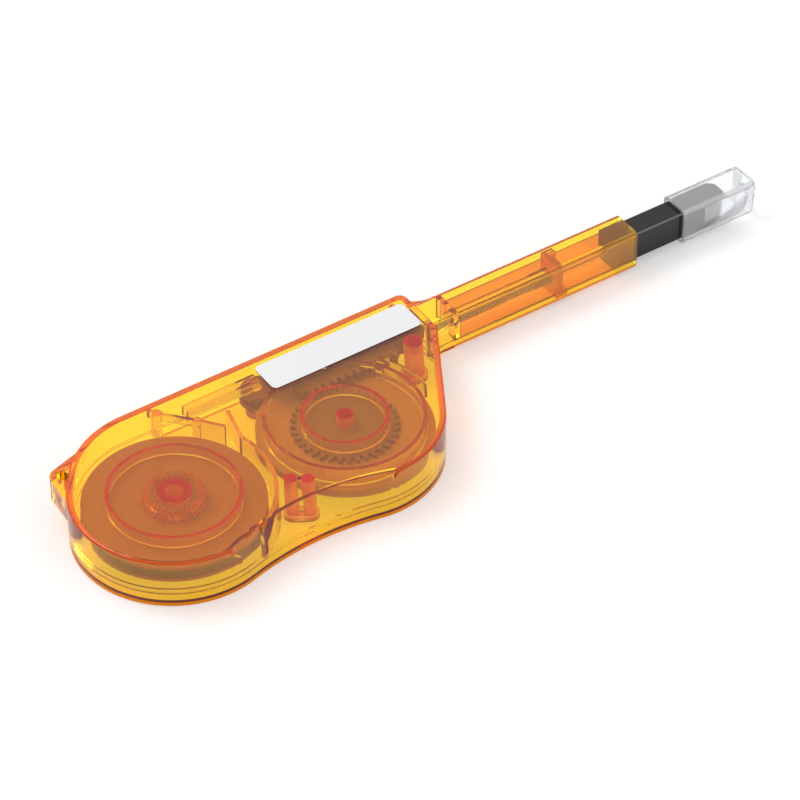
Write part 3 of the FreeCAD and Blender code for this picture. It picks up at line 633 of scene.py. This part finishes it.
def grown(name, tree, **inputs):
    """The mesh object that a Geometry Nodes tree makes with these inputs."""
    piece = bpy.data.objects.new(name, bpy.data.meshes.new(name))
    scene.collection.objects.link(piece)
    modifier = piece.modifiers.new("grow", "NODES")
    modifier.node_group = tree
    for item in tree.interface.items_tree:
        if item.in_out == "INPUT" and item.name.replace(" ", "_") in inputs:
            modifier[item.identifier] = inputs[item.name.replace(" ", "_")]
    mesh = bpy.data.meshes.new_from_object(piece.evaluated_get(bpy.context.evaluated_depsgraph_get()))
    piece.modifiers.remove(modifier)
    piece.data = mesh
    return piece


toothed_rim = []
for tooth in range(tooth_count):
    for share, radius in ((0.0, rim_radius), (0.5, rim_root)):
        toothed_rim.append(on_circle(supply_axis, radius, 2 * math.pi * (tooth + share) / tooth_count))
gaps = grown("tooth_gaps", gap_tree(), Count=tooth_count, Ring_Radius=gap_radius,
             Ring_Height=crown_top - 0.4, Gap_Size=gap_size, Plastic=amber)
brake = with_all(prism(toothed_rim, crown_bottom, crown_step),
                 disc(supply_axis, crown_radius, crown_step - 0.1, crown_top))
brake = less(brake, disc(supply_axis, crown_bore, crown_bottom + crown_web, roof_under + 1, 80),
             disc(supply_axis, supply_tube + seam, crown_bottom - 1, roof_under + 1, 80), gaps.data)
bpy.data.objects.remove(gaps)

guide_start, guide_end, guide_step, step_back = 137.05, 139.05, 1.8, 5.2
guide_side_gap = 0.45
step_start, step_end = guide_end - above, guide_end + guide_step
front, back = neck_front + neck_wall + guide_side_gap, neck_back - neck_wall - guide_side_gap
bottom, top = neck_bottom + neck_wall + seam, neck_top - neck_wall - seam
rod_hole = disc((0, 0), rod_clearance, -6, 6, 48)
in_guide = Matrix.Translation((138, neck_middle_y, rod_height))
rod_hole.transform(in_guide @ Matrix.Rotation(math.pi / 2, 4, "Y"))
guide = with_all(block(guide_start, guide_end, front, back, bottom, top),
                 block(step_start, step_end, front + sliver, back - step_back,
                       bottom + sliver, bottom + guide_step),
                 block(step_start, step_end, front + step_back, back - sliver,
                       top - guide_step, top - sliver))
guide = less(guide, rod_hole)


def tooth_side(centre, normal):
    """1 on the upright faces of the crown's teeth and of the guide's steps, which get painted glow."""
    return int(abs(normal.z) < 0.2 and centre.xy.length > crown_bore + 0.1)


for name, mesh in (("brake_ring", brake), ("rod_guide", guide)):
    piece = clear_piece(name + "_amber", mesh, "housing", name)
    # The upright faces get painted glow, an orange diffuse share and faint emission, standing in for light
    # coming out of the plastic's edges.
    edge_faces(mesh, tooth_side, amber, painted_edge_glow)
    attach(piece, "housing")

# ---- Neck lining ----
# The lower half's side walls run up inside the neck as a thin lining, and the wall looks deeper in colour
# wherever it is double. The lining is tinted a much deeper orange than the housing. This is partly the double
# wall's colour and partly painted shade, standing in for the pen's own shadow on the table seen through the
# neck.
lining, lining_start, lining_end = 0.35, 104.0, neck_end - 0.6
lining_front, lining_front_top = neck_front + neck_wall + fit, 12.6
lining_back, lining_back_top = neck_back - neck_wall - fit, 10.3
double_wall_and_shade_look = dict(amber_look, surface=(1.0, 0.40, 0.10, 1), depth_colour=(0.995, 0.954, 0.0, 1),
                 lamp_tint=(0.86, 0.70, 0.55, 1))
double_wall_and_shade_amber = clear_plastic("amber_double_wall", glow=(1.0, 0.26, 0.01, 1), glow_share=0.08, **double_wall_and_shade_look)
for name, y0, y1, z1 in (("front_lining", lining_front, lining_front + lining, lining_front_top),
                         ("back_lining", lining_back - lining, lining_back, lining_back_top)):
    piece = bpy.data.objects.new(name, block(lining_start, lining_end, y0, y1, parting, z1))
    piece.data.transform(Matrix.Scale(0.001, 4))
    scene.collection.objects.link(piece)
    give(piece, double_wall_and_shade_amber)
    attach(piece, "housing")

# ---- Label ----
# A thin white film sticker with rounded corners, stuck on the roof over the slider. It is bare, with a faint
# tooth in its surface. Its sides and underside are painted near black, a painted shade standing in for the
# shadow along its edges.
paper = bpy.data.materials.new("white_film")
paper.use_nodes = True
tree = paper.node_tree
body = tree.nodes["Principled BSDF"]
body.inputs["Roughness"].default_value = 0.45
painted_edge_shade_grey = (0.03, 0.03, 0.03, 1)
place = add_node(tree, "ShaderNodeTexCoord")
tooth = add_node(tree, "ShaderNodeTexNoise", Scale=2500.0, Detail=3.0)
shade = add_node(tree, "ShaderNodeMapRange", To_Min=0.80, To_Max=0.88)
bump = add_node(tree, "ShaderNodeBump", Strength=0.05, Distance=0.0001)
grey = add_node(tree, "ShaderNodeCombineColor")
tree.links.new(place.outputs["Object"], tooth.inputs["Vector"])
tree.links.new(tooth.outputs["Fac"], shade.inputs["Value"])
tree.links.new(tooth.outputs["Fac"], bump.inputs["Height"])
for channel in range(3):
    tree.links.new(shade.outputs["Result"], grey.inputs[channel])
tree.links.new(bump.outputs["Normal"], body.inputs["Normal"])
# Faces that don't face up, the sides and underside, are painted near black: painted shade along the label's
# edges.
side = add_node(tree, "ShaderNodeNewGeometry")
upward = add_node(tree, "ShaderNodeSeparateXYZ")
on_face = add_node(tree, "ShaderNodeMath", operation="GREATER_THAN")
on_face.inputs[1].default_value = 0.5
edge_shade_mix = add_node(tree, "ShaderNodeMix", data_type="RGBA")
edge_shade_mix.inputs[6].default_value = painted_edge_shade_grey
tree.links.new(side.outputs["Normal"], upward.inputs[0])
tree.links.new(upward.outputs["Z"], on_face.inputs[0])
tree.links.new(on_face.outputs[0], edge_shade_mix.inputs["Factor"])
tree.links.new(grey.outputs[0], edge_shade_mix.inputs[7])
tree.links.new(edge_shade_mix.outputs[2], body.inputs["Base Color"])
give(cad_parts["label"], paper)

# ---- Reels, drive gear and guide roller ----
# The reels, the gear on the take-up reel and the tape's guide roller are moulded in dark plastic.
# Their faces carry the fine rings that turning leaves in the mould.


def dark_plastic(name, low, high, roughness, axis=None, rings=0.0):
    """Dark moulded plastic with a mottled tone and, about an axis, the mould's fine rings."""
    material = bpy.data.materials.new(name)
    material.use_nodes = True
    tree = material.node_tree
    body = tree.nodes["Principled BSDF"]
    place = add_node(tree, "ShaderNodeTexCoord")
    mottle = add_node(tree, "ShaderNodeTexNoise", Scale=260.0, Detail=4.0, Roughness=0.6)
    tone = add_node(tree, "ShaderNodeMix", data_type="RGBA")
    tone.inputs[6].default_value = low
    tone.inputs[7].default_value = high
    sheen = add_node(tree, "ShaderNodeMapRange", To_Min=roughness - 0.06, To_Max=roughness + 0.08)
    bump = add_node(tree, "ShaderNodeBump", Strength=0.15, Distance=0.0001)
    height = mottle.outputs["Fac"]
    if axis is not None:
        centred = add_node(tree, "ShaderNodeMapping", Location=(-axis[0], -axis[1], 0))
        wave = add_node(tree, "ShaderNodeTexWave", wave_type="RINGS", rings_direction="Z", Scale=rings)
        tree.links.new(place.outputs["Object"], centred.inputs["Vector"])
        tree.links.new(centred.outputs["Vector"], wave.inputs["Vector"])
        height = wave.outputs["Fac"]
    tree.links.new(place.outputs["Object"], mottle.inputs["Vector"])
    tree.links.new(mottle.outputs["Fac"], tone.inputs["Factor"])
    tree.links.new(tone.outputs[2], body.inputs["Base Color"])
    tree.links.new(mottle.outputs["Fac"], sheen.inputs["Value"])
    tree.links.new(sheen.outputs["Result"], body.inputs["Roughness"])
    tree.links.new(height, bump.inputs["Height"])
    tree.links.new(bump.outputs["Normal"], body.inputs["Normal"])
    return material


supply_centre = (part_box("supply_reel")[0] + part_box("supply_reel")[1]) / 2
take_up_centre = (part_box("take_up_reel")[0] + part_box("take_up_reel")[1]) / 2
supply_low, supply_high = (0.29, 0.085, 0.08, 1), (0.37, 0.12, 0.11, 1)
take_up_low, take_up_high = (0.36, 0.15, 0.14, 1), (0.46, 0.20, 0.19, 1)
gear_low, gear_high = (0.17, 0.07, 0.07, 1), (0.23, 0.10, 0.10, 1)
drive_low, drive_high = (0.17, 0.065, 0.065, 1), (0.23, 0.09, 0.09, 1)
reel_rings, gear_rings = 420.0, 300.0
give(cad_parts["supply_reel"],
     dark_plastic("supply_reel_plastic", supply_low, supply_high, 0.42, supply_centre, reel_rings))
give(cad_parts["take_up_reel"],
     dark_plastic("take_up_reel_plastic", take_up_low, take_up_high, 0.42, take_up_centre, reel_rings))
give(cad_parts["take_up_gear"],
     dark_plastic("gear_plastic", gear_low, gear_high, 0.40, take_up_centre, gear_rings))
give(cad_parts["guide_roller"], dark_plastic("roller_plastic", drive_low, drive_high, 0.38))

# ---- Cleaning tape ----
# Fine woven tape wound edge on edge: a full wind on the supply reel and a short used one on the
# other. The edges of its turns show as close rings.
wound_low, wound_high = (0.10, 0.05, 0.04, 1), (0.15, 0.08, 0.06, 1)
clean_low, clean_high = (0.50, 0.47, 0.43, 1), (0.65, 0.62, 0.57, 1)
cloth_roughness, tape_rings = 0.75, 900.0
give(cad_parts["supply_tape"],
     dark_plastic("supply_tape_cloth", wound_low, wound_high, cloth_roughness, supply_centre, tape_rings))
give(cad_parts["take_up_tape"],
     dark_plastic("take_up_tape_cloth", wound_low, wound_high, cloth_roughness, take_up_centre, tape_rings))
give(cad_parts["tip_tape"], dark_plastic("tip_tape_cloth", clean_low, clean_high, cloth_roughness))

# ---- Slider: rack plate, rod and collar ----
# A dark rack plate slides under the roof, and a thin steel rod runs from it through the neck to the
# nose. A black collar pressed on the rod takes the spring's thrust.
collar_low, collar_high = (0.02, 0.018, 0.017, 1), (0.03, 0.026, 0.025, 1)
give(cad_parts["slider_rack"], dark_plastic("rack_plastic", drive_low, drive_high, 0.38))
give(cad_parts["spring_collar"], dark_plastic("collar_plastic", collar_low, collar_high, 0.35))


def drawn_steel(name, low, high, along):
    """Bright drawn wire with fine scratches along it."""
    material = bpy.data.materials.new(name)
    material.use_nodes = True
    tree = material.node_tree
    body = tree.nodes["Principled BSDF"]
    body.inputs["Metallic"].default_value = 1.0
    place = add_node(tree, "ShaderNodeTexCoord")
    stretch = add_node(tree, "ShaderNodeMapping", Scale=along)
    scratch = add_node(tree, "ShaderNodeTexNoise", Scale=4000.0, Detail=3.0)
    tone = add_node(tree, "ShaderNodeMix", data_type="RGBA")
    tone.inputs[6].default_value = low
    tone.inputs[7].default_value = high
    gloss = add_node(tree, "ShaderNodeMapRange", To_Min=0.22, To_Max=0.40)
    tree.links.new(place.outputs["Object"], stretch.inputs["Vector"])
    tree.links.new(stretch.outputs["Vector"], scratch.inputs["Vector"])
    tree.links.new(scratch.outputs["Fac"], tone.inputs["Factor"])
    tree.links.new(scratch.outputs["Fac"], gloss.inputs["Value"])
    tree.links.new(tone.outputs[2], body.inputs["Base Color"])
    tree.links.new(gloss.outputs["Result"], body.inputs["Roughness"])
    return material


rod_low, rod_high = (0.20, 0.19, 0.18, 1), (0.34, 0.33, 0.32, 1)
drawn_along_x = (0.02, 1, 1)
give(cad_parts["push_rod"], drawn_steel("rod_steel", rod_low, rod_high, drawn_along_x))

# ---- Return spring ----
# A compression spring in fine steel wire, with a closed turn at each end, round the rod between a
# cross wall of the neck and the collar.
spring_low, spring_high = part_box("return_spring")
spring_outer = spring_high.z - spring_low.z
spring_wire, spring_turns, points_a_turn, squashed_share = 0.00055, 26.0, 32.0, 0.68
wire_low, wire_high = (0.06, 0.05, 0.05, 1), (0.14, 0.12, 0.11, 1)


def coil_tree():
    """A wire that winds along X, with closed end turns."""
    tree = bpy.data.node_groups.new("coil_spring", "GeometryNodeTree")
    for name in ("Outer Diameter", "Wire Diameter", "Length", "Turns"):
        tree.interface.new_socket(name, in_out="INPUT", socket_type="NodeSocketFloat")
    tree.interface.new_socket("Start", in_out="INPUT", socket_type="NodeSocketVector")
    tree.interface.new_socket("Wire", in_out="INPUT", socket_type="NodeSocketMaterial")
    tree.interface.new_socket("Geometry", in_out="OUTPUT", socket_type="NodeSocketGeometry")
    given = tree.nodes.new("NodeGroupInput")
    result = tree.nodes.new("NodeGroupOutput")

    def math_node(operation, first, second=None):
        made = tree.nodes.new("ShaderNodeMath")
        made.operation = operation
        for socket, value in zip(made.inputs, (first, second)):
            if isinstance(value, (int, float)):
                socket.default_value = value
            elif value is not None:
                tree.links.new(value, socket)
        return made.outputs[0]

    path = tree.nodes.new("GeometryNodeCurvePrimitiveLine")
    points = tree.nodes.new("GeometryNodeResampleCurve")
    tree.links.new(path.outputs[0], points.inputs["Curve"])
    tree.links.new(math_node("MULTIPLY", given.outputs["Turns"], points_a_turn), points.inputs["Count"])
    share = tree.nodes.new("GeometryNodeSplineParameter").outputs["Factor"]
    angle = math_node("MULTIPLY", math_node("MULTIPLY", share, given.outputs["Turns"]), 2 * math.pi)
    radius = math_node("MULTIPLY", math_node("SUBTRACT", given.outputs["Outer Diameter"],
                                             given.outputs["Wire Diameter"]), 0.5)
    end_share = math_node("DIVIDE", 1.0, given.outputs["Turns"])
    middle_share = math_node("SUBTRACT", 1.0, math_node("MULTIPLY", end_share, 2.0))
    middle_length = math_node("SUBTRACT", given.outputs["Length"],
                              math_node("MULTIPLY", given.outputs["Wire Diameter"], 3.0))
    first = math_node("MINIMUM", math_node("DIVIDE", share, end_share), 1.0)
    rest = math_node("SUBTRACT", share, end_share)
    middle = math_node("MINIMUM", math_node("MAXIMUM", math_node("DIVIDE", rest, middle_share), 0.0), 1.0)
    beyond = math_node("SUBTRACT", rest, middle_share)
    last = math_node("MAXIMUM", math_node("DIVIDE", beyond, end_share), 0.0)
    ends = math_node("MULTIPLY", math_node("ADD", first, last), given.outputs["Wire Diameter"])
    along = math_node("ADD", math_node("ADD", ends, math_node("MULTIPLY", middle, middle_length)),
                      math_node("MULTIPLY", given.outputs["Wire Diameter"], 0.5))
    position = tree.nodes.new("ShaderNodeCombineXYZ")
    tree.links.new(along, position.inputs[0])
    tree.links.new(math_node("MULTIPLY", radius, math_node("COSINE", angle)), position.inputs[1])
    tree.links.new(math_node("MULTIPLY", radius, math_node("SINE", angle)), position.inputs[2])
    shifted = tree.nodes.new("ShaderNodeVectorMath")
    shifted.operation = "ADD"
    tree.links.new(position.outputs[0], shifted.inputs[0])
    tree.links.new(given.outputs["Start"], shifted.inputs[1])
    bent = tree.nodes.new("GeometryNodeSetPosition")
    tree.links.new(points.outputs[0], bent.inputs["Geometry"])
    tree.links.new(shifted.outputs[0], bent.inputs["Position"])
    section = tree.nodes.new("GeometryNodeCurvePrimitiveCircle")
    section.inputs["Resolution"].default_value = 12
    tree.links.new(math_node("MULTIPLY", given.outputs["Wire Diameter"], 0.5), section.inputs["Radius"])
    drawn = tree.nodes.new("GeometryNodeCurveToMesh")
    drawn.inputs["Fill Caps"].default_value = True
    tree.links.new(bent.outputs[0], drawn.inputs["Curve"])
    tree.links.new(section.outputs[0], drawn.inputs["Profile Curve"])
    smooth = tree.nodes.new("GeometryNodeSetShadeSmooth")
    real = tree.nodes.new("GeometryNodeRealizeInstances")
    coat = tree.nodes.new("GeometryNodeSetMaterial")
    tree.links.new(drawn.outputs[0], smooth.inputs["Geometry"])
    tree.links.new(smooth.outputs[0], real.inputs["Geometry"])
    tree.links.new(real.outputs[0], coat.inputs["Geometry"])
    tree.links.new(given.outputs["Wire"], coat.inputs["Material"])
    tree.links.new(coat.outputs[0], result.inputs["Geometry"])
    return tree


spring_axis = (spring_low + spring_high) / 2
spring = grown("coil_spring", coil_tree(), Outer_Diameter=spring_outer, Wire_Diameter=spring_wire,
               Length=spring_high.x - spring_low.x, Turns=spring_turns,
               Start=(spring_low.x, spring_axis.y, spring_axis.z),
               Wire=drawn_steel("spring_wire", wire_low, wire_high, (1, 1, 1)))
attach(spring, "housing")
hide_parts("return_spring")
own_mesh(spring)

# ---- Nose and cleaning head ----
# A square nose in glossy black plastic slides in and out of the neck. A pale head in its open tip
# carries the tape over the fibre ends.


def smooth_copy(node, corner_angle=32.0, bevel=0.0):
    """A merged copy of a solid from the frame, its corners eased and its curves smooth."""
    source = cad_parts[node]
    piece = bpy.data.objects.new(node + "_smooth", source.data.copy())
    piece.data.name = node + "_smooth"
    scene.collection.objects.link(piece)
    weld = piece.modifiers.new("weld", "WELD")
    weld.merge_threshold = 2e-6
    if bevel:
        ease = piece.modifiers.new("ease", "BEVEL")
        ease.width = bevel
        ease.segments = 3
        ease.limit_method = "ANGLE"
        ease.angle_limit = math.radians(corner_angle)
    merged = bpy.data.meshes.new_from_object(piece.evaluated_get(bpy.context.evaluated_depsgraph_get()))
    piece.modifiers.clear()
    piece.data = merged
    merged.shade_smooth()
    merged.set_sharp_from_angle(angle=math.radians(corner_angle))
    weighted = piece.modifiers.new("weighted", "WEIGHTED_NORMAL")
    weighted.keep_sharp = True
    weighted.weight = 90
    finished = bpy.data.meshes.new_from_object(piece.evaluated_get(bpy.context.evaluated_depsgraph_get()))
    piece.modifiers.clear()
    piece.data = finished
    return piece


nose_low, nose_high, painted_edge_highlight = (0.003, 0.003, 0.004, 1), (0.006, 0.006, 0.007, 1), (0.16, 0.16, 0.17, 1)
head_low, head_high = (0.30, 0.31, 0.32, 1), (0.40, 0.41, 0.42, 1)
nose_corner, nose_bevel = 32.0, 0.0003
nose_plastic = dark_plastic("nose_plastic", nose_low, nose_high, 0.20)
tree = nose_plastic.node_tree
tree.nodes["Principled BSDF"].inputs["Specular IOR Level"].default_value = 0.38
# The eased long edges, whose normals lean between side and top, are painted a lighter grey: a painted
# highlight along the nose's edges.
turned = add_node(tree, "ShaderNodeSeparateXYZ")
on_bevel = add_node(tree, "ShaderNodeMath", operation="MULTIPLY")
highlight_share = add_node(tree, "ShaderNodeMapRange", From_Min=0.15, From_Max=0.4)
edge_highlight_mix = add_node(tree, "ShaderNodeMix", data_type="RGBA")
edge_highlight_mix.inputs[7].default_value = painted_edge_highlight
tree.links.new(add_node(tree, "ShaderNodeNewGeometry").outputs["Normal"], turned.inputs[0])
tree.links.new(turned.outputs["Y"], on_bevel.inputs[0])
tree.links.new(turned.outputs["Z"], on_bevel.inputs[1])
lighter = add_node(tree, "ShaderNodeMath", operation="ABSOLUTE")
tree.links.new(on_bevel.outputs[0], lighter.inputs[0])
tree.links.new(lighter.outputs[0], highlight_share.inputs["Value"])
tree.links.new(highlight_share.outputs["Result"], edge_highlight_mix.inputs["Factor"])
nose_body = tree.nodes["Principled BSDF"]
tree.links.new(nose_body.inputs["Base Color"].links[0].from_socket, edge_highlight_mix.inputs[6])
tree.links.new(edge_highlight_mix.outputs[2], nose_body.inputs["Base Color"])
nose = smooth_copy("nose_sleeve", nose_corner, nose_bevel)
give(nose, nose_plastic)
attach(nose, "slider")
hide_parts("nose_sleeve")
give(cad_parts["cleaning_head"], dark_plastic("head_plastic", head_low, head_high, 0.45))

# ---- Cap ----
# A push-on cap in natural, slightly milky plastic keeps dust off the tip. A thick lip goes round
# its mouth, and an eyelet on its end takes a strap.
milky_look = dict(ior=1.46, surface=(0.96, 0.97, 0.98, 1), depth_colour=(0.86, 0.88, 0.90, 1), depth=40.0,
                  lamp_tint=(0.94, 0.94, 0.94, 1), grain=0.06, grain_size=900.0)
milky = clear_plastic("milky_plastic", roughness=0.15, glow=(0.95, 0.95, 0.96, 1), glow_share=0.15,
                      **milky_look)
# The mouth's face and the turned edges get a whiter, more diffuse share: painted light standing in for light
# that comes out of the plastic's edges.
milky_lip = clear_plastic("milky_lip", roughness=0.2, glow=(0.97, 0.97, 0.98, 1), glow_share=0.4,
                          **milky_look)
cap_mouth, lip_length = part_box("cap")[0].x * 1000, 1.0
cap = smooth_copy("cap")


def cap_edge(centre, normal):
    """1 on the lip's face round the mouth and on the turned edges, which get painted light: a whiter, more
    diffuse share.
    """
    at_mouth = centre.x < cap_mouth + lip_length
    return int(at_mouth or max(abs(normal.x), abs(normal.y), abs(normal.z)) < 0.93)


edge_faces(cap.data, cap_edge, milky, milky_lip)
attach(cap, "cap")
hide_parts("cap")
